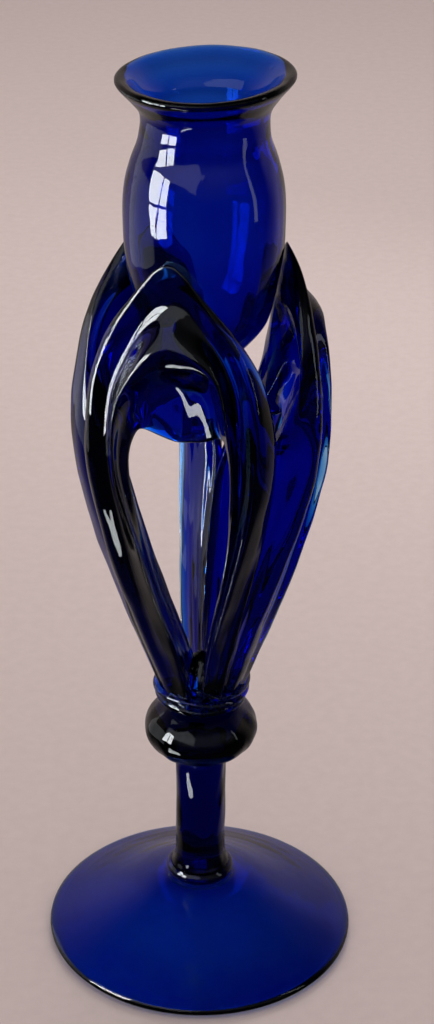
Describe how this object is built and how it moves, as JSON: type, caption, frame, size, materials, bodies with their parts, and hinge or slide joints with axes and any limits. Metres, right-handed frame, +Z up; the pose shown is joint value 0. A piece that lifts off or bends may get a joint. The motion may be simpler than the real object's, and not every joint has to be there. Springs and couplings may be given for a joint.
{
  "type": "glass candlestick",
  "caption": "Hand-blown cobalt blue glass candlestick: a flared tulip cup clasped by pierced pointed petals over a wound collar, ball knop, short stem and cone foot.",
  "frame": {"origin": "centre of the foot's resting ring, on the surface it stands on", "axes": "+Z up along the stem and the candle; the front petal's arch faces -Y, turned a little towards -X"},
  "size_m": [0.0846, 0.0846, 0.25],
  "materials": {
    "foot_glass": "thin blown cobalt glass, fire polished",
    "solid_glass": "thick solid cobalt glass, nearly black where deep",
    "petal_glass": "thick tooled cobalt glass with drawn streaks",
    "cup_glass": "blown cobalt glass, fire polished"
  },
  "bodies": {
    "root": {"foot": "foot_glass", "foot_ring": "solid_glass", "stem": "solid_glass", "knop": "solid_glass", "collar_wrap": "solid_glass", "petal_front": "petal_glass", "petal_right": "petal_glass", "petal_left": "petal_glass", "candle_cup": "cup_glass"}
  },
  "joints": []
}
